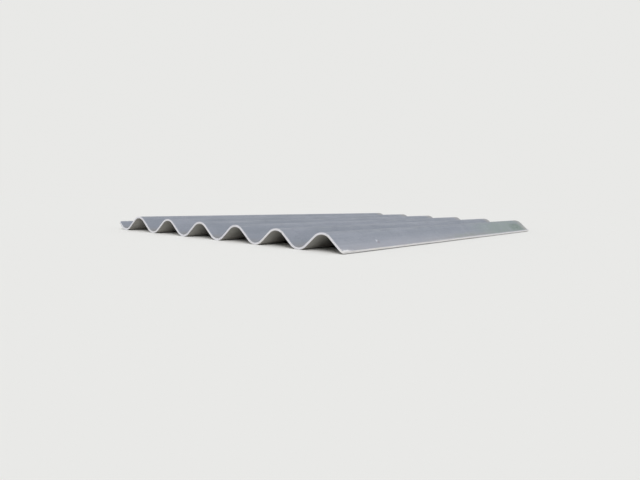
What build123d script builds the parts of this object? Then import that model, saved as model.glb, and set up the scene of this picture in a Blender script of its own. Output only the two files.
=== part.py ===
from build123d import *
import math
import os

# A corrugated fibre cement roofing sheet, lying on its valleys with the coated face up.
# X runs across the waves, Y along them and Z up. Sizes are in millimetres.
# The origin is on the floor, under the middle of the sheet.

# The sheet: its length, its width between the middles of its two edges, and its thickness
length = 1830
width = 1097
thickness = 6.5

# The wave, on the line midway through the thickness
pitch = 177
depth = 51

# How much steeper the flank stands than a straight line from crest to valley
flank_steepness = 1.4

# From the last crest to the edge that turns down, which stops just short of a valley
falling_edge_run = 77

# A wave is an arc over the crest and one round the valley, with a flank tangent to both
half_pitch = pitch / 2
flank_slope = flank_steepness * math.atan(depth / half_pitch)
flank_angle = math.degrees(flank_slope)
bend_radius = (half_pitch * math.tan(flank_slope) - depth) / (2 / math.cos(flank_slope) - 2)
crest_center_height = thickness / 2 + depth - bend_radius
valley_center_height = thickness / 2 + bend_radius

# Crest lines from left to right, with one more past each edge of the sheet
last_crest = width / 2 - falling_edge_run
waves_back = math.ceil((width - falling_edge_run) / pitch)
crest_lines = [last_crest + wave * pitch for wave in range(-waves_back, 2)]


def face_line(above):
    """Draw one face of the sheet in section, this far above its middle, and give its two ends."""
    ends = []
    for crest_x in crest_lines:
        crest = CenterArc(
            (crest_x, crest_center_height), bend_radius + above, 90 + flank_angle, -2 * flank_angle
        )
        valley = CenterArc(
            (crest_x + half_pitch, valley_center_height),
            bend_radius - above,
            270 - flank_angle,
            2 * flank_angle,
        )
        Line(crest @ 1, valley @ 0)
        if ends:
            Line(ends[-1], crest @ 0)
        ends += [crest @ 0, valley @ 1]
    return ends[0], ends[-1]


def edge_plane(x):
    """The plane that cuts square through the sheet where its middle line crosses x."""
    past_crest = (x - last_crest) % pitch
    from_crest = min(past_crest, pitch - past_crest)
    from_bend = min(from_crest, half_pitch - from_crest)
    slope = math.asin(min(from_bend / bend_radius, math.sin(flank_slope)))
    on_flank = max(from_bend - bend_radius * math.sin(flank_slope), 0)
    drop = bend_radius * (1 - math.cos(slope)) + on_flank * math.tan(slope)
    height = thickness / 2 + (depth - drop if from_crest < half_pitch / 2 else drop)
    direction = -1 if past_crest < half_pitch else 1
    return Plane((x, 0, height), z_dir=(math.cos(slope), 0, direction * math.sin(slope)))


with BuildPart() as corrugated_sheet:
    with BuildSketch(Plane.XZ) as section:
        with BuildLine() as outline:
            top_left, top_right = face_line(thickness / 2)
            bottom_left, bottom_right = face_line(-thickness / 2)
            Line(top_left, bottom_left)
            Line(top_right, bottom_right)
        make_face()
    extrude(amount=length / 2, both=True)
    # Both edges are cut square to the sheet
    split(bisect_by=edge_plane(-width / 2), keep=Keep.TOP)
    split(bisect_by=edge_plane(width / 2), keep=Keep.BOTTOM)

corrugated_sheet.part.label = "corrugated_sheet"

os.makedirs("parts", exist_ok=True)
export_step(corrugated_sheet.part, "parts/corrugated_sheet.step")
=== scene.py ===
"""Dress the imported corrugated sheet, and set up the studio and the camera that look at it.

The sheet is fibre cement, pressed wet over a wavy former and painted on its upper face. It lies on
its valleys, with X across the waves, Y along them and Z up. Every size is in metres, written as
millimetres times MM.
"""

import logging
import math
from dataclasses import dataclass
from enum import Enum

import bpy
import numpy as np
from mathutils import Matrix, Vector

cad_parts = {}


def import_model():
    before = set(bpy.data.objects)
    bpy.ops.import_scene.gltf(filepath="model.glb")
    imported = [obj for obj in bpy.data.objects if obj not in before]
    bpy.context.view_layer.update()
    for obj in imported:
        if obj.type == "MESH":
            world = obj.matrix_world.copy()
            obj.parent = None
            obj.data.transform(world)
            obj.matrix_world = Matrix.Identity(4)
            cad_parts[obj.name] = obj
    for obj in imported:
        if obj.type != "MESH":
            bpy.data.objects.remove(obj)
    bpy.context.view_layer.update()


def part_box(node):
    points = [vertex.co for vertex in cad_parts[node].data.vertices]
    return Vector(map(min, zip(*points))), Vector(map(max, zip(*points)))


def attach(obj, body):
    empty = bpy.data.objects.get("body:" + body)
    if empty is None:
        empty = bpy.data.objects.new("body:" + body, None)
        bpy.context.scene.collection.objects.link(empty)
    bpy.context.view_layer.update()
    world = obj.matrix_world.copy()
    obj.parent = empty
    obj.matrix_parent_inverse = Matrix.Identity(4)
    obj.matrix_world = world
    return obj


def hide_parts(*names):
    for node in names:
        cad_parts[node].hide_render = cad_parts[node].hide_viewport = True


MM = 0.001
DEGREE = math.pi / 180

# A reach or a patch so long that nothing changes along it
ENDLESS = 1e3

# The CAD sheet that the dressed one stands for, and its thickness
CAD_NODE = "corrugated_sheet"
THICKNESS = 6.5 * MM

log = logging.getLogger("sheet")

Socket = bpy.types.NodeSocket


def linear_colour(srgb_hex: str) -> tuple[float, float, float, float]:
    """Turn an sRGB hex colour into the linear colour that a shader socket takes.

    Args:
        srgb_hex: Six hex digits after a hash.

    Returns:
        Red, green and blue in linear light, and an alpha of 1.
    """
    levels = np.array([int(srgb_hex[i : i + 2], 16) for i in (1, 3, 5)]) / 255
    curved = ((levels + 0.055) / 1.055) ** 2.4
    return (*np.where(levels <= 0.04045, levels / 12.92, curved).tolist(), 1.0)


def mm(*sizes: float) -> tuple[float, ...]:
    """Turn sizes in millimetres into metres."""
    return tuple(size * MM for size in sizes)


@dataclass(frozen=True)
class SmoothNoise:
    """Seeded noise between 0 and 1 that changes smoothly from place to place.

    Random values stand on a lattice, and a place between four of them has their mean, weighted by
    a smooth step in each direction.
    """

    seed: int
    cell: float
    shape: tuple[int, int] = (4096, 64)

    def at(self, u: np.ndarray, v: np.ndarray | float = 0.0) -> np.ndarray:
        """Read the noise at places.

        Args:
            u: First coordinate of each place.
            v: Second coordinate of each place.

        Returns:
            One value for each place.
        """
        values = np.random.default_rng(self.seed).random(self.shape)
        u, v = np.broadcast_arrays(np.asarray(u, float) / self.cell, np.asarray(v, float) / self.cell)
        i, j = np.floor(u).astype(int), np.floor(v).astype(int)
        right, up = u - i, v - j
        right, up = right * right * (3 - 2 * right), up * up * (3 - 2 * up)
        rows, columns = self.shape
        low = values[i % rows, j % columns] * (1 - right) + values[(i + 1) % rows, j % columns] * right
        j = j + 1
        high = values[i % rows, j % columns] * (1 - right) + values[(i + 1) % rows, j % columns] * right
        return low * (1 - up) + high * up


@dataclass(frozen=True)
class Wave:
    """The wave of the sheet, followed along the line midway through its thickness."""

    depth: float
    thickness: float = THICKNESS
    width: float = 1097 * MM
    pitch: float = 177 * MM
    flank_steepness: float = 1.4
    falling_edge_run: float = 77 * MM
    table_step: float = 0.1 * MM

    @property
    def last_crest(self) -> float:
        """Where the last crest line runs, across the sheet."""
        return self.width / 2 - self.falling_edge_run

    def middle(self, x: np.ndarray) -> tuple[np.ndarray, np.ndarray]:
        """Follow the wave: an arc over the crest, a straight flank, and an arc round the valley.

        Within an arc the sine of the slope is the distance from the middle of the bend over its
        radius, and the fall is the radius times one less the cosine. Past the arc the slope stays.

        Args:
            x: Places across the sheet.

        Returns:
            The height of the middle line above the floor, and its slope as an angle.
        """
        half_pitch = self.pitch / 2
        flank = self.flank_steepness * math.atan(self.depth / half_pitch)
        radius = (half_pitch * math.tan(flank) - self.depth) / (2 / math.cos(flank) - 2)
        past_crest = (x - self.last_crest) % self.pitch
        from_crest = np.minimum(past_crest, self.pitch - past_crest)
        from_bend = np.minimum(from_crest, half_pitch - from_crest)
        slope = np.arcsin(np.minimum(from_bend / radius, math.sin(flank)))
        on_flank = np.maximum(from_bend - radius * math.sin(flank), 0)
        fall = radius * (1 - np.cos(slope)) + on_flank * math.tan(flank)
        height = np.where(from_crest < half_pitch / 2, self.depth - fall, fall)
        return self.thickness / 2 + height, np.where(past_crest < half_pitch, -slope, slope)

    def girth(self) -> tuple[np.ndarray, np.ndarray, np.ndarray]:
        """Measure along the wave from the left edge, which is the sheet's width before pressing.

        Returns:
            Places across the sheet, the length of line up to each, and the turning up to each.
        """
        x = np.linspace(-self.width / 2, self.width / 2, round(self.width / self.table_step) + 1)
        height, slope = self.middle(x)
        run = np.concatenate([[0], np.cumsum(np.hypot(np.diff(x), np.diff(height)))])
        turning = np.concatenate([[0], np.cumsum(np.abs(np.diff(slope)))])
        return x, run, turning


@dataclass(frozen=True)
class EdgeWear:
    """What cutting and handling did to the border of the sheet, all of it inwards.

    The saw wandered slowly and left grit, each thin layer of the board ends a little further in or
    out than the next, and chips were knocked off, most of them small. A layer takes layer_share of
    the thickness, and layer_shift further along the noise makes it unlike its neighbours.
    """

    seed: int = 41
    saw_wander: float = 0.5 * MM
    saw_wander_cell: float = 70 * MM
    grit: float = 0.25 * MM
    grit_cell: float = 3.5 * MM
    grit_depth: float = 9 * MM
    layer_inset: float = 0.35 * MM
    layer_cell: float = 28 * MM
    layer_share: float = 0.17
    layer_shift: float = 17.0
    chips: int = 150
    chip_length: tuple[float, float] = (3 * MM, 15 * MM)
    chip_depth: tuple[float, float] = (0.5 * MM, 2.8 * MM)
    chip_skew: int = 3
    chip_share: float = 5 / 9
    chipped_from_above: float = 0.6
    corner_radius: float = 9 * MM

    def pull(self, along: np.ndarray, border: float, through: np.ndarray) -> np.ndarray:
        """Work out how far each place on the border lies inside a clean cut.

        A chip is a parabola along the border, deepest at its middle. It opens towards the face
        that it was knocked from, and fades out chip_share of the thickness away from it.

        Args:
            along: Distance round the border.
            border: Length of the whole border.
            through: Share of the thickness above the underside.

        Returns:
            The distance inwards.
        """
        rng = np.random.default_rng(self.seed)
        middle = rng.random(self.chips) * border
        reach = self.chip_length[0] + np.ptp(self.chip_length) * rng.random(self.chips) ** self.chip_skew
        depth = self.chip_depth[0] + np.ptp(self.chip_depth) * rng.random(self.chips) ** self.chip_skew
        from_above = rng.random(self.chips) < self.chipped_from_above
        away = np.abs((along[:, None] - middle + border / 2) % border - border / 2) / (reach / 2)
        bite = depth * np.clip(1 - away**2, 0, None)
        from_face = np.where(from_above, 1 - through[:, None], through[:, None])
        chipped = (bite * np.clip(1 - from_face / self.chip_share, 0, 1)).max(1)
        layer = np.floor(through / self.layer_share) * self.layer_shift
        wander = self.saw_wander * SmoothNoise(self.seed + 1, self.saw_wander_cell).at(along)
        grit = self.grit * SmoothNoise(self.seed + 2, self.grit_cell).at(along, through * self.grit_depth)
        inset = self.layer_inset * SmoothNoise(self.seed + 3, self.layer_cell).at(along + layer) ** 2
        return chipped + wander + grit + inset


class Face(Enum):
    """The three kinds of surface that the sheet shows, in the order of its material slots."""

    COATED = 0
    CUT = 1
    BACK = 2


@dataclass(frozen=True)
class Outline:
    """The panels' outline, counterclockwise from above, with each panel's side cut into short ones.

    rim holds the corners of the panels along it, as vertex numbers, and splits the number of short
    sides of each panel. For each short side, panel says whose it is, and step which one.
    """

    rim: np.ndarray
    splits: np.ndarray
    panel: np.ndarray
    step: np.ndarray

    @classmethod
    def of(cls, grid: np.ndarray, across_splits: int, along_splits: int) -> "Outline":
        """Go round a grid of vertex numbers.

        Args:
            grid: The numbers, by rows across the sheet and columns along it.
            across_splits: Short sides to a panel at the two ends.
            along_splits: Short sides to a panel at the two long edges.

        Returns:
            The outline.
        """
        rows, columns = grid.shape
        rim = np.concatenate([grid[:-1, 0], grid[-1, :-1], grid[:0:-1, -1], grid[0, :0:-1]])
        splits = np.repeat([across_splits, along_splits] * 2, [rows - 1, columns - 1] * 2)
        panel = np.repeat(np.arange(len(rim)), splits)
        step = np.arange(len(panel)) - np.repeat(np.cumsum(splits) - splits, splits)
        return cls(rim, splits, panel, step)

    def read(self, values: np.ndarray) -> np.ndarray:
        """Take a value of the grid in equal steps from each corner of the outline to the next.

        Args:
            values: The value at each vertex of the grid.

        Returns:
            The value at the start of each short side.
        """
        share = self.step / self.splits[self.panel]
        here, after = values[self.rim], values[np.roll(self.rim, -1)]
        return here[self.panel] * (1 - share) + after[self.panel] * share

    def fan(self, ring: np.ndarray, first: int) -> np.ndarray:
        """Join one long side of each panel to its short sides on a ring, with triangles.

        Args:
            ring: Vertex numbers of the ring, one for each short side.
            first: Number of the first vertex of the panels.

        Returns:
            The corners of the triangles, counterclockwise from above.
        """
        rim, after = self.rim + first, np.roll(self.rim, -1) + first
        half = self.splits[self.panel] // 2
        tip = np.where(self.step < half, rim[self.panel], after[self.panel])
        short = np.stack([ring, np.roll(ring, -1), tip], -1)
        middle = self.step == half
        long = np.stack([rim[self.panel][middle], ring[middle], after[self.panel][middle]], -1)
        return np.concatenate([short, long])


@dataclass
class CorrugatedSheet:
    """The sheet as one closed skin: two faces of long panels and a fine band round the border."""

    wave: Wave
    length: float
    name: str = "coated_sheet"
    wear: EdgeWear = EdgeWear()

    # How far a panel turns and runs at most across the sheet, and how long it is
    panel_turn: float = 5 * DEGREE
    panel_run: float = 24 * MM
    panel_length: float = 24 * MM

    # How far in from the edge the panels stop, and into how many short sides their outline is cut
    border_margin: float = 12 * MM
    across_splits: int = 3
    along_splits: int = 8

    # The rings round the border: how far in they lie on each face, how they divide the cut, and
    # how sharp their corners get
    upper_rings: tuple[float, ...] = mm(7.5, 4.5, 2.6, 1.4, 0.6)
    lower_rings: tuple[float, ...] = mm(0.6, 1.8, 4.5)
    arris_margin: float = 0.2 * MM
    arris_share: float = 0.025
    cut_rings: int = 9
    cut_share: float = 0.07
    least_radius: float = 0.05 * MM

    # The pressing isn't quite even: what a slow noise takes off the depth and the width at most
    depth_loss: float = 0.012
    depth_seed: int = 7
    width_loss: float = 0.0012
    width_seed: int = 8
    unevenness: float = 260 * MM

    def place(self, across: np.ndarray, along: np.ndarray, above: np.ndarray) -> np.ndarray:
        """Carry the flat sheet onto the wave.

        A place lies on the middle line at its distance across, and then square to it by its height
        above the middle. Its height is then drawn towards the middle of the wave's depth, and its
        place across towards the middle of the sheet, by the losses of the uneven pressing.

        Args:
            across: Distance along the wave from the left edge.
            along: Distance from the near end.
            above: Height above the middle of the thickness.

        Returns:
            One row of x, y and z for each place.
        """
        table_x, table_run, _ = self.wave.girth()
        x = np.interp(across, table_run, table_x)
        height, slope = self.wave.middle(x)
        depth_noise = SmoothNoise(self.depth_seed, self.unevenness).at(across, along)
        shallower = self.depth_loss * depth_noise**2
        narrower = self.width_loss * SmoothNoise(self.width_seed, self.unevenness).at(along)
        middle = (self.wave.depth + self.wave.thickness) / 2
        z = height + above * np.cos(slope)
        x = x - above * np.sin(slope)
        return np.stack([x * (1 - narrower), along - self.length / 2, z + (middle - z) * shallower], -1)

    def lines(self) -> tuple[np.ndarray, np.ndarray]:
        """Place the panel lines: across they are close where the wave bends, along they are even.

        Returns:
            The distances of the lines along the wave from the left edge, and from the near end.
        """
        _, run, turning = self.wave.girth()
        measure = run / self.panel_run + turning / self.panel_turn
        girth = run[-1]
        first, last = np.interp([self.border_margin, girth - self.border_margin], run, measure)
        across = np.interp(np.linspace(first, last, round(last - first) + 1), measure, run)
        clear = self.length - 2 * self.border_margin
        along = self.border_margin + np.linspace(0, clear, round(clear / self.panel_length) + 1)
        return across, along

    def profile(self) -> list[tuple[float, float, Face]]:
        """Go over the border, from the upper face down the cut to the underside.

        Returns:
            For each ring of the border: its distance in from the edge, its share of the thickness
            above the underside, and the kind of surface from the ring before it.
        """
        shares = np.linspace(1 - self.cut_share, self.cut_share, self.cut_rings)
        top = [(margin, 1.0, Face.COATED) for margin in self.upper_rings]
        upper_arris = [(self.arris_margin, 1 - self.arris_share, Face.COATED)]
        cut = [(0.0, share, Face.CUT) for share in shares]
        lower_arris = [(self.arris_margin, self.arris_share, Face.CUT)]
        back = [(margin, 0.0, Face.BACK) for margin in self.lower_rings]
        return top + upper_arris + cut + lower_arris + back

    def build(self) -> bpy.types.Object:
        """Join the panels of both faces to the band of rings round the border, as one closed mesh.

        Returns:
            The sheet's object, with its attributes and no material yet.
        """
        across, along = self.lines()
        grid = np.arange(len(across) * len(along)).reshape(len(across), len(along))
        outline = Outline.of(grid, self.across_splits, self.along_splits)
        points, distances, places = self.vertices(across, along, outline)
        quads, triangles, finish = self.faces(grid, outline)
        return self.to_object(points, quads, triangles, finish, distances, places)

    def vertices(
        self, across: np.ndarray, along: np.ndarray, outline: Outline
    ) -> tuple[np.ndarray, np.ndarray, np.ndarray]:
        """Place the panels' corners on the upper and the lower face, and then ring after ring.

        A ring is the panels' outline, moved out until it lies in from the edge by its margin and by
        the wear there, which fades out towards the panels.

        Args:
            across: The panel lines along the wave from the left edge.
            along: The panel lines from the near end.
            outline: The panels' outline.

        Returns:
            The vertices, how far in from the cut edge each lies, and its place for patterns: the
            flat sheet's on the panels, and the run round the border and the depth on the rings.
        """
        girth = self.wave.girth()[1][-1]
        half = self.wave.thickness / 2
        flat_a, flat_b = (lines.ravel() for lines in np.meshgrid(across, along, indexing="ij"))
        ring_a, ring_b = outline.read(flat_a), outline.read(flat_b)
        edge_a = self.stretched(ring_a, girth, 0.0)
        edge_b = self.stretched(ring_b, self.length, 0.0)
        sides = np.hypot(np.roll(edge_a, -1) - edge_a, np.roll(edge_b, -1) - edge_b)
        border_run = np.cumsum(sides) - sides

        distance = np.minimum(np.minimum(flat_a, girth - flat_a), np.minimum(flat_b, self.length - flat_b))
        flat = np.stack([flat_a, flat_b, distance], -1)
        points = [self.place(flat_a, flat_b, np.full(len(flat_a), face)) for face in (half, -half)]
        distances = [distance, distance]
        places = [flat, flat]
        for margin, through, _ in self.profile():
            shares = np.full(len(ring_a), through)
            pull = self.wear.pull(border_run, sides.sum(), shares)
            inside = margin + pull * (1 - margin / self.border_margin)
            a = self.stretched(ring_a, girth, inside)
            b = self.stretched(ring_b, self.length, inside)
            a, b = self.rounded(a, b, girth, inside)
            points.append(self.place(a, b, (shares * 2 - 1) * half))
            distances.append(inside)
            places.append(np.stack([border_run, (1 - shares) * self.wave.thickness, inside], -1))
        return np.concatenate(points), np.concatenate(distances), np.concatenate(places)

    def faces(self, grid: np.ndarray, outline: Outline) -> tuple[np.ndarray, np.ndarray, np.ndarray]:
        """Number the corners of the panels, of the band between the rings, and of the fans.

        The fans join the upper panels to the first ring, and the lower ones to the last.

        Args:
            grid: Vertex numbers of the upper panels' corners.
            outline: The panels' outline.

        Returns:
            The faces with four corners, those with three, and the kind of each, fours first.
        """
        size, around = grid.size, len(outline.panel)
        profile = self.profile()
        rings = 2 * size + np.arange(around * len(profile)).reshape(len(profile), around)
        after = np.roll(rings, -1, 1)
        upper = np.stack([grid[:-1, :-1], grid[1:, :-1], grid[1:, 1:], grid[:-1, 1:]], -1).reshape(-1, 4)
        lower = upper[:, ::-1] + size
        band = np.stack([rings[:-1], rings[1:], after[1:], after[:-1]], -1).reshape(-1, 4)
        upper_fan = outline.fan(rings[0], 0)
        lower_fan = outline.fan(rings[-1], size)[:, ::-1]
        coated, back = Face.COATED.value, Face.BACK.value
        kinds = [coated, back, *(face.value for _, _, face in profile[1:]), coated, back]
        counts = [len(upper), len(lower), *[around] * (len(profile) - 1), len(upper_fan), len(lower_fan)]
        fours, threes = np.concatenate([upper, lower, band]), np.concatenate([upper_fan, lower_fan])
        return fours, threes, np.repeat(kinds, counts)

    def stretched(self, at: np.ndarray, size: float, margin: np.ndarray | float) -> np.ndarray:
        """Move places on the panels' outline out along one direction until they are this far in."""
        reach = size / 2
        return reach + (at - reach) * (reach - margin) / (reach - self.border_margin)

    def rounded(
        self, a: np.ndarray, b: np.ndarray, girth: float, margins: np.ndarray
    ) -> tuple[np.ndarray, np.ndarray]:
        """Wear the four corners round: what is past the arc's radius from its centre is drawn in.

        Args:
            a: Distance along the wave from the left edge.
            b: Distance from the near end.
            girth: Length of the whole wave.
            margins: How far in from the edge each place is.

        Returns:
            The new distances.
        """
        radius = self.wear.corner_radius
        over_a = np.clip(np.abs(a - girth / 2) - (girth / 2 - radius), 0, None)
        over_b = np.clip(np.abs(b - self.length / 2) - (self.length / 2 - radius), 0, None)
        limit = np.clip(radius - margins, self.least_radius, None)
        both = (over_a > 0) & (over_b > 0)
        from_centre = np.where(both, np.hypot(over_a, over_b), limit)
        scale = np.minimum(1, limit / from_centre)
        a = a - np.sign(a - girth / 2) * over_a * (1 - scale)
        b = b - np.sign(b - self.length / 2) * over_b * (1 - scale)
        return a, b

    def to_object(
        self,
        points: np.ndarray,
        quads: np.ndarray,
        triangles: np.ndarray,
        finish: np.ndarray,
        distances: np.ndarray,
        places: np.ndarray,
    ) -> bpy.types.Object:
        """Put the arrays into a mesh, with what the finishes read from it.

        Args:
            points: The vertices.
            quads: The faces with four corners.
            triangles: The faces with three corners.
            finish: Material slot of each face, quads first.
            distances: How far in from the cut edge each vertex lies.
            places: Where each vertex lies round the border and through the thickness.

        Returns:
            The linked object.
        """
        counts = np.repeat([4, 3], [len(quads), len(triangles)])
        mesh = bpy.data.meshes.new(self.name)
        mesh.vertices.add(len(points))
        mesh.vertices.foreach_set("co", points.astype(np.float32).ravel())
        mesh.loops.add(counts.sum())
        mesh.loops.foreach_set("vertex_index", np.concatenate([quads.ravel(), triangles.ravel()]))
        mesh.polygons.add(len(counts))
        mesh.polygons.foreach_set("loop_start", np.cumsum(counts) - counts)
        mesh.polygons.foreach_set("material_index", finish)
        mesh.update(calc_edges=True)
        mesh.shade_smooth()
        mesh.attributes.new("edge_distance", "FLOAT", "POINT").data.foreach_set(
            "value", distances.astype(np.float32)
        )
        mesh.attributes.new("edge_place", "FLOAT_VECTOR", "POINT").data.foreach_set(
            "vector", places.astype(np.float32).ravel()
        )
        mesh.validate()
        piece = bpy.data.objects.new(self.name, mesh)
        bpy.context.scene.collection.objects.link(piece)
        return piece

    def dress(self, piece: bpy.types.Object, finishes: dict[Face, "Finish"]) -> None:
        """Give each kind of surface its finish, in the order of the slots."""
        for face in Face:
            piece.data.materials.append(finishes[face].material())


class NodeTree:
    """The nodes of one material, or of the world."""

    def __init__(self, owner: bpy.types.Material | bpy.types.World) -> None:
        """Start with no nodes.

        Args:
            owner: The material or the world.
        """
        owner.use_nodes = True
        self.owner = owner
        self.tree = owner.node_tree
        self.tree.nodes.clear()

    def add(
        self, kind: str, inputs: dict[int | str, object], output: int | str = 0, **settings: object
    ) -> Socket | None:
        """Add a node with its settings and links.

        Args:
            kind: Blender's name of the node.
            inputs: What each input gets: a value, or the output of another node.
            output: Which output to hand back.
            **settings: The node's own options.

        Returns:
            The output, or None if the node has none.
        """
        made = self.tree.nodes.new(kind)
        for option, value in settings.items():
            setattr(made, option, value)
        for socket, value in inputs.items():
            if isinstance(value, Socket):
                self.tree.links.new(value, made.inputs[socket])
            else:
                made.inputs[socket].default_value = value
        return made.outputs[output] if len(made.outputs) else None


@dataclass(frozen=True)
class Zone:
    """A soft-edged part of the sheet: an ellipsoid, a band beside the cut edge, or where they meet.

    It is whole up to soft_from of the way out to its reach, and fades from there.
    """

    centre: tuple[float, float, float] = (0.0, 0.0, 0.0)
    reach: tuple[float, float, float] = (ENDLESS, ENDLESS, ENDLESS)
    edge_band: float = 0.0
    soft_from: float = 0.4

    def within(self, nodes: NodeTree, here: Socket) -> Socket:
        """Say how far inside the zone each place is.

        Its distance is that from the centre, with each direction in units of the zone's reach, or
        that from the cut edge in units of the band. Of the two, the further counts.

        Args:
            nodes: The material's nodes.
            here: Object coordinates.

        Returns:
            1 in the zone's middle, falling smoothly to 0 at its reach.
        """
        offset = nodes.add("ShaderNodeVectorMath", {0: here, 1: self.centre}, operation="SUBTRACT")
        offset = nodes.add("ShaderNodeVectorMath", {0: offset, 1: self.reach}, operation="DIVIDE")
        away = nodes.add("ShaderNodeVectorMath", {0: offset}, "Value", operation="LENGTH")
        if self.edge_band:
            edge = nodes.add("ShaderNodeAttribute", {}, "Fac", attribute_name="edge_distance")
            edge = nodes.add("ShaderNodeMath", {0: edge, 1: self.edge_band}, operation="DIVIDE")
            away = nodes.add("ShaderNodeMath", {0: away, 1: edge}, operation="MAXIMUM")
        return nodes.add(
            "ShaderNodeMapRange",
            {"Value": away, "From Min": self.soft_from, "From Max": 1.0, "To Min": 1.0, "To Max": 0.0},
            interpolation_type="SMOOTHSTEP",
        )


@dataclass(frozen=True)
class Tint:
    """One colour that lies unevenly over a finish, in patches of a real size.

    It comes in as the noise passes between the two levels of shows, or, as an outline, only where
    the noise is nearer to the first level than the two are apart. The noise has detail finer
    layers, each weaker than the last by its grain. Where the tint gathers, it keeps to crowds of
    that size. Where it frays, it breaks up into flecks towards its zone's reach, because the noise
    has to be that much higher there, and otherwise it fades.
    """

    what: str
    colour: str
    patch: tuple[float, float, float]
    shows: tuple[float, float]
    strength: float
    zone: Zone | None = None
    detail: float = 3.0
    grain: float = 0.5
    gathers: float = 0.0
    crowd_levels: tuple[float, float] = (0.5, 0.62)
    crowd_detail: float = 1.0
    outline: bool = False
    frays: float = 0.0

    def coverage(self, nodes: NodeTree, here: Socket, pattern: Socket) -> Socket:
        """Say how much the tint shows at each place: its noise between two levels, in its zone.

        Args:
            nodes: The material's nodes.
            here: Object coordinates, for the zone.
            pattern: The coordinates that the patches are laid out on.

        Returns:
            The share of the tint's colour, from 0 to its strength.
        """
        scaled = nodes.add("ShaderNodeVectorMath", {0: pattern, 1: self.patch}, operation="DIVIDE")
        noise = nodes.add(
            "ShaderNodeTexNoise",
            {"Vector": scaled, "Scale": 1.0, "Detail": self.detail, "Roughness": self.grain},
        )
        begins, ends = self.shows
        if self.outline:
            noise = nodes.add("ShaderNodeMath", {0: noise, 1: begins}, operation="SUBTRACT")
            noise = nodes.add("ShaderNodeMath", {0: noise}, operation="ABSOLUTE")
            begins, ends = ends - begins, 0.0
        within = self.zone.within(nodes, here) if self.zone else None
        if self.frays:
            noise = nodes.add(
                "ShaderNodeMath", {0: within, 1: self.frays, 2: noise}, operation="MULTIPLY_ADD"
            )
            begins, ends = begins + self.frays, ends + self.frays
        shows = nodes.add(
            "ShaderNodeMapRange",
            {"Value": noise, "From Min": begins, "From Max": ends, "To Max": self.strength},
            interpolation_type="SMOOTHSTEP",
        )
        if self.gathers:
            crowded = self.crowded(nodes, pattern)
            shows = nodes.add("ShaderNodeMath", {0: shows, 1: crowded}, operation="MULTIPLY")
        if within is not None and not self.frays:
            shows = nodes.add("ShaderNodeMath", {0: shows, 1: within}, operation="MULTIPLY")
        return shows

    def crowded(self, nodes: NodeTree, pattern: Socket) -> Socket:
        """Say where the tint's patches keep together.

        Args:
            nodes: The material's nodes.
            pattern: The coordinates that the patches are laid out on.

        Returns:
            1 in a crowd, and 0 between crowds.
        """
        wide = nodes.add("ShaderNodeVectorMath", {0: pattern, 1: (self.gathers,) * 3}, operation="DIVIDE")
        crowd = nodes.add("ShaderNodeTexNoise", {"Vector": wide, "Scale": 1.0, "Detail": self.crowd_detail})
        begins, ends = self.crowd_levels
        return nodes.add("ShaderNodeMapRange", {"Value": crowd, "From Min": begins, "From Max": ends})


@dataclass(frozen=True)
class WornPaint(Tint):
    """Bare cement where the paint is worn off, in flecks that get fewer towards the zone's reach."""

    detail: float = 9.0
    grain: float = 0.74
    frays: float = 0.4


@dataclass(frozen=True)
class Relief:
    """Fine unevenness of a surface: the size of its grain, and how far it stands up."""

    grain: tuple[float, float, float]
    height: float
    detail: float = 2.0

    def bump(self, nodes: NodeTree, pattern: Socket, below: Socket | None) -> Socket:
        """Lay the unevenness over a coarser one.

        Args:
            nodes: The material's nodes.
            pattern: The coordinates that the grain is laid out on.
            below: The normal that the coarser relief left, or None.

        Returns:
            The bent normal.
        """
        scaled = nodes.add("ShaderNodeVectorMath", {0: pattern, 1: self.grain}, operation="DIVIDE")
        noise = nodes.add("ShaderNodeTexNoise", {"Vector": scaled, "Scale": 1.0, "Detail": self.detail})
        inputs = {"Distance": self.height, "Height": noise}
        if below is not None:
            inputs["Normal"] = below
        return nodes.add("ShaderNodeBump", inputs)


class Follows(Enum):
    """What a finish's patterns are laid out on."""

    OBJECT = "object"
    EDGE = "edge"


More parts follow.
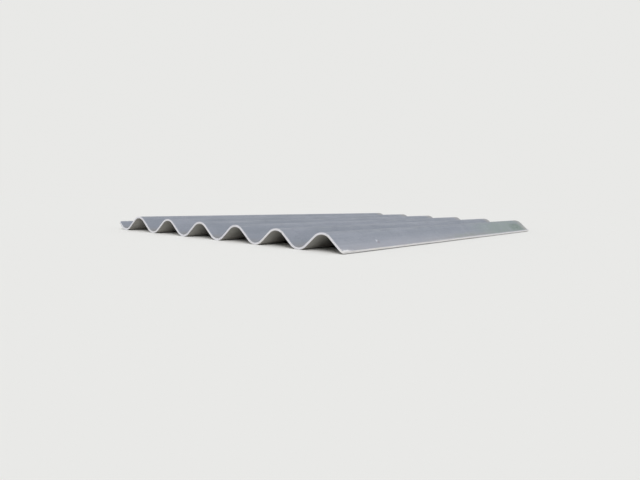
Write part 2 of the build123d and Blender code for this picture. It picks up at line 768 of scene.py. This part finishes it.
@dataclass(frozen=True)
class Finish:
    """A surface of the sheet: its colour, what lies on it, how rough it is and how it feels."""

    name: str
    base: str
    roughness: tuple[float, float]
    tints: tuple[Tint, ...]
    reliefs: tuple[Relief, ...]
    specular: float = 0.35
    follows: Follows = Follows.OBJECT
    gloss_patch: float = 60 * MM
    gloss_levels: tuple[float, float] = (0.3, 0.7)
    gloss_detail: float = 4.0

    def material(self) -> bpy.types.Material:
        """Build the nodes: the base colour, each tint over it in turn, the roughness and the relief.

        Returns:
            The material.
        """
        nodes = NodeTree(bpy.data.materials.new(self.name))
        here = nodes.add("ShaderNodeTexCoord", {}, "Object")
        pattern = here
        if self.follows is Follows.EDGE:
            pattern = nodes.add("ShaderNodeAttribute", {}, "Vector", attribute_name="edge_place")
        colour: Socket | tuple[float, ...] = linear_colour(self.base)
        for tint in self.tints:
            shows = tint.coverage(nodes, here, pattern)
            layers = {0: shows, 6: colour, 7: linear_colour(tint.colour)}
            colour = nodes.add("ShaderNodeMix", layers, 2, data_type="RGBA", label=tint.what)
        normal = None
        for relief in self.reliefs:
            normal = relief.bump(nodes, pattern, normal)
        shader = nodes.add(
            "ShaderNodeBsdfPrincipled",
            {
                "Base Color": colour,
                "Roughness": self.uneven_gloss(nodes, here),
                "Specular IOR Level": self.specular,
                "Normal": normal,
            },
        )
        nodes.add("ShaderNodeOutputMaterial", {"Surface": shader})
        return nodes.owner

    def uneven_gloss(self, nodes: NodeTree, here: Socket) -> Socket:
        """Let the surface go from its shiniest to its dullest between two levels of a noise.

        Args:
            nodes: The material's nodes.
            here: Object coordinates.

        Returns:
            The roughness.
        """
        patchy = nodes.add("ShaderNodeVectorMath", {0: here, 1: (self.gloss_patch,) * 3}, operation="DIVIDE")
        noise = nodes.add(
            "ShaderNodeTexNoise", {"Vector": patchy, "Scale": 1.0, "Detail": self.gloss_detail}
        )
        low, high = self.gloss_levels
        shiniest, dullest = self.roughness
        return nodes.add(
            "ShaderNodeMapRange",
            {"Value": noise, "From Min": low, "From Max": high, "To Min": shiniest, "To Max": dullest},
        )


def finishes(wave: Wave, length: float) -> dict[Face, Finish]:
    """Describe the sheet's three surfaces.

    Args:
        wave: The wave, for places across the sheet.
        length: The sheet's length, for places along it.

    Returns:
        The finish of each kind of surface.
    """
    # Acrylic paint, curtain-coated on the pressed sheet and left outdoors: a matt slate blue-grey,
    # chalked in patches, rubbed pale along the crests and at the edges, and marked by dried rain.
    # Its real grains and scratches are under 0.5 mm, too fine to show, so here they are 1.6 mm.
    coat = Finish(
        name="weathered_acrylic_coat",
        # The base is a few levels darker than the paint's own colour, as painted shade over the whole coat;
        # the last flank is lifted back low down by painted light below.
        base="#898f9a",
        roughness=(0.55, 0.72),
        tints=(
            *faded_paint(),
            *settled_dust(),
            *falling_flank(wave, length),
            *worn_margins(wave, length),
            *splashes(wave),
        ),
        reliefs=(
            Relief(mm(14, 40, 14), 0.6 * MM, 3.0),
            Relief(mm(5, 7, 5), 0.25 * MM, 3.0),
            Relief(mm(1.6, 1.8, 1.6), 0.12 * MM),
        ),
    )

    # The same cement where the sheet was trimmed: pale, dry and powdery, with the edges of the
    # thin layers that it was built up from showing as faint lines. The real grit is finer than
    # a tenth of the thickness and wouldn't show, so here it is drawn at 1.2 to 1.6 mm.
    side = Zone((wave.width / 2, 0.0, 0.0), (20 * MM, ENDLESS, ENDLESS), soft_from=0.6)
    stretch = (180 * MM, 9 * MM, ENDLESS)
    smudge = (22 * MM, 4 * MM, ENDLESS)
    cut = Finish(
        name="trimmed_cement_edge",
        base="#d4d4da",
        roughness=(0.85, 0.95),
        specular=0.2,
        follows=Follows.EDGE,
        tints=(
            # Painted light: the cut of the right long edge is made paler than the rest of the cut, so that
            # it shows fully lit though it lies close to the floor.
            Tint("side edge painted light", "#e6e5e5", stretch, (0.1, 0.4), 0.95, side),
            Tint("layers", "#b6b4b6", (160 * MM, 0.9 * MM, ENDLESS), (0.46, 0.62), 0.5, detail=2),
            Tint("yellowed stretches", "#dcd8cd", stretch, (0.5, 0.7), 0.5),
            Tint("grime", "#8f8c87", smudge, (0.55, 0.73), 0.5, detail=7, grain=0.62),
            Tint("grit", "#bcbab8", (1.6 * MM, 1.2 * MM, ENDLESS), (0.5, 0.7), 0.5),
        ),
        reliefs=(
            Relief((30 * MM, 0.9 * MM, ENDLESS), 0.3 * MM),
            Relief((1.5 * MM, 1.2 * MM, ENDLESS), 0.2 * MM),
        ),
    )

    # The uncoated underside, which took the mark of the felt and the former: grey-beige, dry and
    # dull, with drag lines along the waves, damp blotches and a pale bloom of lime. A real fibre is
    # a few hundredths of a millimetre across, and here it is drawn at 2 mm so that it shows.
    back = Finish(
        name="felt_marked_cement_back",
        base="#9c9a95",
        roughness=(0.82, 0.95),
        specular=0.2,
        tints=(
            Tint("damp blotches", "#85827c", mm(110, 200, 110), (0.45, 0.65), 0.6, detail=6),
            Tint("lime bloom", "#b4b1ab", mm(60, 110, 60), (0.52, 0.7), 0.6, detail=7, grain=0.6),
            Tint("tide marks", "#8a8781", mm(150, 210, 150), (0.5, 0.51), 0.4, detail=5, outline=True),
            Tint("drag lines", "#8d8a84", mm(3, 300, 3), (0.5, 0.7), 0.5),
            Tint("fibres", "#aeaba5", mm(2, 9, 2), (0.6, 0.7), 0.5),
            Tint("pits", "#6f6c67", mm(2.4, 2.8, 2.4), (0.66, 0.74), 0.6, detail=1),
        ),
        reliefs=(
            Relief(mm(4, 60, 4), 0.4 * MM),
            Relief(mm(2, 2, 2), 0.25 * MM),
        ),
    )
    return {Face.COATED: coat, Face.CUT: cut, Face.BACK: back}


def faded_paint() -> tuple[Tint, ...]:
    """List what sun, rain and rubbing did to the paint all over.

    Returns:
        The tints, the widest first.
    """
    crests = Zone((0.0, 0.0, 57 * MM), (ENDLESS, ENDLESS, 13 * MM), soft_from=0.2)
    return (
        Tint("chalked patches", "#9b9fab", mm(90, 300, 90), (0.4, 0.68), 0.55, detail=6, grain=0.55),
        Tint("dull patches", "#838992", mm(40, 120, 40), (0.5, 0.72), 0.5, detail=6, grain=0.6),
        Tint("rain streaks", "#7f858f", mm(8, 500, 8), (0.48, 0.74), 0.3, detail=6),
        Tint("pale streaks", "#a0a4af", mm(5, 350, 5), (0.56, 0.78), 0.3, detail=5),
        Tint("tide marks", "#7b808a", mm(110, 150, 110), (0.5, 0.512), 0.3, detail=6, outline=True),
        Tint("rubbed crests", "#abaeb7", mm(7, 160, 20), (0.5, 0.68), 0.5, crests, detail=7, grain=0.62),
        Tint("fine chalk", "#a6a9b4", mm(4, 9, 4), (0.5, 0.75), 0.4, detail=5, grain=0.65),
        Tint("dark grains", "#737781", mm(1.6, 2, 1.6), (0.56, 0.72), 0.5, detail=2),
    )


def settled_dust() -> tuple[Tint, ...]:
    """List the dust and the silt that rain washed together in the valleys.

    Returns:
        The tints, the widest first.
    """
    low = Zone(reach=(ENDLESS, ENDLESS, 22 * MM), soft_from=0.2)
    lowest = Zone(reach=(ENDLESS, ENDLESS, 12 * MM), soft_from=0.3)
    return (
        Tint("valley dust", "#8c8a85", mm(30, 60, 30), (0.3, 0.6), 0.65, low, detail=9, grain=0.68),
        Tint("silt", "#726e67", mm(6, 22, 6), (0.45, 0.65), 0.55, lowest, detail=8, grain=0.7),
    )


def falling_flank(wave: Wave, length: float) -> tuple[Tint, ...]:
    """List what shows on the flank of the last wave: paler low down, partly bleached and partly painted
    light, and green at its far end.

    Args:
        wave: The wave.
        length: The sheet's length.

    Returns:
        The tints, the widest first.
    """
    flank = wave.last_crest + 45 * MM
    far = length / 2
    # The lower part of the last flank: paler partly from bleaching and partly as painted light, which with
    # the darkened base makes the flank darker higher up, as painted shade.
    bleached = Zone((wave.width / 2, -far, 0.0), mm(70, 2000, 60), soft_from=0.1)
    dusty = Zone((wave.width / 2, 250 * MM, 0.0), mm(55, 900, 40), soft_from=0.15)
    filmed = Zone((flank, far - 260 * MM, 30 * MM), mm(140, 640, 90), soft_from=0.25)
    green = Zone((flank, far - 150 * MM, 27 * MM), mm(48, 140, 32), soft_from=0.15)
    low_green = Zone((flank + 12 * MM, 30 * MM, 14 * MM), mm(30, 240, 16), soft_from=0.2)
    crest_end = Zone((wave.last_crest + 20 * MM, far - 105 * MM, 52 * MM), mm(34, 70, 20))
    drips = Zone((wave.last_crest + 36 * MM, 330 * MM, 38 * MM), mm(22, 60, 20), soft_from=0.1)
    return (
        # Partly bleaching and partly painted light: the lower flank is lightened, so the flank darkens
        # upwards as if shaded from above.
        Tint("bleached and painted light low down", "#a7a9b3", mm(60, 200, 60), (0.1, 0.45), 0.7, bleached, detail=5),
        Tint("dust low down", "#959593", mm(30, 90, 30), (0.25, 0.6), 0.7, dusty, detail=7, grain=0.6),
        Tint("green film", "#869290", mm(35, 90, 35), (0.25, 0.55), 0.85, filmed, detail=8, grain=0.66),
        Tint("first green", "#87928a", mm(12, 30, 12), (0.42, 0.62), 0.6, low_green, detail=8, grain=0.68),
        Tint("algae", "#65756b", mm(12, 30, 12), (0.36, 0.58), 0.8, green, detail=9, grain=0.72),
        Tint("algae spots", "#64736b", mm(2.2, 2.8, 2.2), (0.52, 0.66), 0.5, green, detail=4, grain=0.6),
        Tint("dull crest end", "#7f8591", mm(20, 50, 20), (0.3, 0.6), 0.7, crest_end, detail=6),
        Tint("dried drips", "#b2b7c3", mm(5, 9, 5), (0.56, 0.66), 0.7, drips),
    )


def worn_margins(wave: Wave, length: float) -> tuple[Tint, ...]:
    """List where the paint is thin, bleached or knocked off beside the cut edges, and the painted highlight
    at the near right corner.

    Args:
        wave: The wave.
        length: The sheet's length.

    Returns:
        The tints, the widest first.
    """
    far = length / 2
    far_end = Zone((0.0, far, 0.0), (ENDLESS, 90 * MM, ENDLESS), soft_from=0.2)
    far_arris = Zone((0.0, far, 0.0), (ENDLESS, 20 * MM, ENDLESS), soft_from=0.2)
    corner = Zone((wave.width / 2, 10 * MM - far, 6 * MM), mm(26, 86, 22), soft_from=0.1)
    margin = Zone(edge_band=4.5 * MM, soft_from=0.3)
    far_margin = Zone((0.0, far, 0.0), (ENDLESS, 1900 * MM, ENDLESS), edge_band=12 * MM, soft_from=0.35)
    arris = Zone(edge_band=4 * MM, soft_from=0.3)
    return (
        Tint("faded far end", "#a5a39f", mm(18, 22, 18), (0.26, 0.56), 0.8, far_end, detail=8, grain=0.68),
        WornPaint("worn far end", "#c9cbcb", mm(9, 9, 9), (0.3, 0.42), 0.9, far_arris, grain=0.72),
        WornPaint("thin paint", "#c3c4cb", mm(5, 12, 5), (0.24, 0.5), 0.85, margin),
        WornPaint("bleached margin", "#c3c4cb", mm(5, 12, 5), (0.24, 0.5), 0.88, far_margin),
        # Paler round the near right corner: partly rubbed paint, partly a painted highlight of the rounded
        # corner.
        WornPaint("rubbed corner and painted highlight", "#e5e5e7", mm(8, 14, 8), (0.3, 0.42), 0.95, corner, grain=0.76),
        Tint("nicks", "#cfcecd", mm(3, 5, 3), (0.55, 0.6), 0.9, arris),
    )


def splashes(wave: Wave) -> tuple[Tint, ...]:
    """List the scuffs, the specks of mortar and mud, and the one dropping on the last flank.

    Args:
        wave: The wave.

    Returns:
        The tints, the widest first.
    """
    stain_and_shadow = Zone((wave.last_crest + 55 * MM, -690 * MM, 23 * MM), mm(11, 14, 11), soft_from=0.2)
    spot = Zone((wave.last_crest + 51 * MM, -692 * MM, 27 * MM), mm(7, 9, 7), soft_from=0.3)
    return (
        Tint("scuffs", "#aab0ba", mm(1.6, 80, 12), (0.66, 0.72), 0.5, gathers=220 * MM),
        Tint("pale specks", "#bfc1c8", mm(5, 6, 5), (0.73, 0.8), 0.6, detail=2, gathers=180 * MM),
        Tint("dark specks", "#5d5f65", mm(4, 5, 4), (0.75, 0.8), 0.6, detail=2, gathers=150 * MM),
        # The brownish ring below the dropping is partly its stain and partly a painted shadow of it.
        Tint("dropping's stain", "#857d85", mm(5, 6, 5), (0.36, 0.56), 0.6, stain_and_shadow, detail=4, grain=0.6),
        Tint("dropping", "#dcdee8", mm(4.5, 5.5, 4.5), (0.46, 0.52), 0.9, spot, detail=4, grain=0.6),
    )


@dataclass(frozen=True)
class Lamp:
    """A wide, far lamp, which lights the sheet and the floor round it evenly."""

    name: str
    comes_from: tuple[float, float, float]
    spread: float
    level: float

    def build(self) -> None:
        """Make the lamp, so that a white card square to it shows as bright as its level."""
        light = bpy.data.lights.new(self.name, "SUN")
        light.angle = self.spread
        light.energy = self.level * math.pi
        lamp = bpy.data.objects.new(self.name, light)
        lamp.rotation_euler = (-Vector(self.comes_from)).to_track_quat("-Z", "Y").to_euler()
        bpy.context.scene.collection.objects.link(lamp)


@dataclass(frozen=True)
class Studio:
    """A pale floor that runs into a pale backdrop, an even soft light, and two wide lamps."""

    floor_colour: str = "#f0f0ee"
    floor_radius: float = 40.0
    floor_rings: int = 24
    floor_spokes: int = 96
    floor_fades: tuple[float, float] = (2.0, 8.0)
    air_colour: str = "#ffffff"
    ambient: float = 0.6
    lamps: tuple[Lamp, ...] = (
        Lamp("key_lamp", comes_from=(0.56, -0.58, 0.6), spread=35 * DEGREE, level=0.5),
        Lamp("fill_lamp", comes_from=(-0.5, -0.8, 0.35), spread=70 * DEGREE, level=0.1),
    )

    @property
    def floor_light(self) -> float:
        """How bright a white floor shows, so that the backdrop can match it."""
        lamps = sum(lamp.level * Vector(lamp.comes_from).normalized().z for lamp in self.lamps)
        return self.ambient + lamps

    def build(self) -> None:
        """Make the floor, the world and the lamps."""
        self.world()
        floor = self.floor()
        floor.data.materials.append(self.floor_paint())
        for lamp in self.lamps:
            lamp.build()

    def world(self) -> None:
        """Light the scene evenly from all round, and show the backdrop's colour behind it."""
        world = bpy.data.worlds.new("studio_air")
        bpy.context.scene.world = world
        nodes = NodeTree(world)
        seen = self.sees_backdrop(nodes)
        air = nodes.add(
            "ShaderNodeBackground", {"Color": linear_colour(self.air_colour), "Strength": self.ambient}
        )
        wall = nodes.add(
            "ShaderNodeBackground", {"Color": linear_colour(self.floor_colour), "Strength": self.floor_light}
        )
        either = nodes.add("ShaderNodeMixShader", {0: seen, 1: air, 2: wall})
        nodes.add("ShaderNodeOutputWorld", {"Surface": either})

    @staticmethod
    def sees_backdrop(nodes: NodeTree) -> Socket:
        """Tell the rays that show the backdrop, from the eye and off gloss, from those that light.

        Args:
            nodes: The nodes of the floor or the world.

        Returns:
            1 for a ray that shows the backdrop, and 0 for one that lights.
        """
        seen = nodes.add("ShaderNodeLightPath", {}, "Is Camera Ray")
        for ray in ("Is Glossy Ray", "Is Transmission Ray"):
            also = nodes.add("ShaderNodeLightPath", {}, ray)
            seen = nodes.add("ShaderNodeMath", {0: seen, 1: also}, operation="MAXIMUM")
        return seen

    def floor(self) -> bpy.types.Object:
        """Lay the floor: a disc of rings whose radius grows with the square of their number.

        Returns:
            The floor's object.
        """
        rings, spokes = self.floor_rings, self.floor_spokes
        radius = self.floor_radius * (np.arange(1, rings + 1) / rings) ** 2
        turn = np.arange(spokes) * 2 * np.pi / spokes
        x = (radius[:, None] * np.cos(turn)).ravel()
        y = (radius[:, None] * np.sin(turn)).ravel()
        points = np.concatenate([np.stack([x, y, np.zeros_like(x)], -1), [[0.0, 0.0, 0.0]]])
        at = np.arange(rings * spokes).reshape(rings, spokes)
        after = np.roll(at, -1, 1)
        quads = np.stack([at[:-1], at[1:], after[1:], after[:-1]], -1).reshape(-1, 4)
        middle = np.stack([at[0], after[0], np.full(spokes, len(points) - 1)], -1)
        mesh = bpy.data.meshes.new("floor")
        mesh.from_pydata(points.tolist(), [], quads.tolist() + middle.tolist())
        floor = bpy.data.objects.new("floor", mesh)
        bpy.context.scene.collection.objects.link(floor)
        return floor

    def floor_paint(self) -> bpy.types.Material:
        """Paint the floor matt and pale, and let it run into the backdrop far from the sheet.

        Returns:
            The floor's material.
        """
        nodes = NodeTree(bpy.data.materials.new("pale_studio_floor"))
        here = nodes.add("ShaderNodeTexCoord", {}, "Object")
        away = nodes.add("ShaderNodeVectorMath", {0: here}, "Value", operation="LENGTH")
        near, far = self.floor_fades
        fades = nodes.add(
            "ShaderNodeMapRange",
            {"Value": away, "From Min": near, "From Max": far},
            interpolation_type="SMOOTHSTEP",
        )
        seen = self.sees_backdrop(nodes)
        share = nodes.add("ShaderNodeMath", {0: fades, 1: seen}, operation="MULTIPLY")
        colour = linear_colour(self.floor_colour)
        paint = nodes.add("ShaderNodeBsdfDiffuse", {"Color": colour})
        wall = nodes.add("ShaderNodeEmission", {"Color": colour, "Strength": self.floor_light})
        both = nodes.add("ShaderNodeMixShader", {0: share, 1: paint, 2: wall})
        nodes.add("ShaderNodeOutputMaterial", {"Surface": both})
        return nodes.owner


@dataclass(frozen=True)
class PhotoCamera:
    """The camera where the photograph was taken from, low beside the sheet's near right corner."""

    place: tuple[float, float, float] = mm(1367.1, -2123.2, 164.8)
    turned_left: float = 36.747 * DEGREE
    looking_down: float = 4.915 * DEGREE
    tilted: float = 1.906 * DEGREE
    lens: float = 29.554

    def build(self) -> None:
        """Make the camera: level along +Y, then turned, lowered, and tilted about its own line."""
        data = bpy.data.cameras.new("photo_camera")
        data.lens = self.lens
        camera = bpy.data.objects.new("photo_camera", data)
        turn = Matrix.Rotation(self.turned_left, 4, "Z")
        lower = Matrix.Rotation(math.pi / 2 - self.looking_down, 4, "X")
        tilt = Matrix.Rotation(self.tilted, 4, "Z")
        camera.matrix_world = Matrix.Translation(self.place) @ turn @ lower @ tilt
        bpy.context.scene.collection.objects.link(camera)
        bpy.context.scene.camera = camera


def main() -> None:
    """Load the frame, dress the sheet, and set the stage."""
    logging.basicConfig(level=logging.INFO, format="%(name)s: %(message)s")
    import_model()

    low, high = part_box(CAD_NODE)
    wave = Wave(depth=high.z - low.z - THICKNESS)
    sheet = CorrugatedSheet(wave=wave, length=high.y - low.y)
    piece = sheet.build()
    sheet.dress(piece, finishes(wave, sheet.length))
    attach(piece, "root")
    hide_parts(CAD_NODE)
    vertices, faces = len(piece.data.vertices), len(piece.data.polygons)
    log.info("%s has %d vertices and %d faces", piece.name, vertices, faces)

    Studio().build()
    PhotoCamera().build()
    bpy.context.scene.view_settings.view_transform = "Standard"


if __name__ == "__main__":
    main()
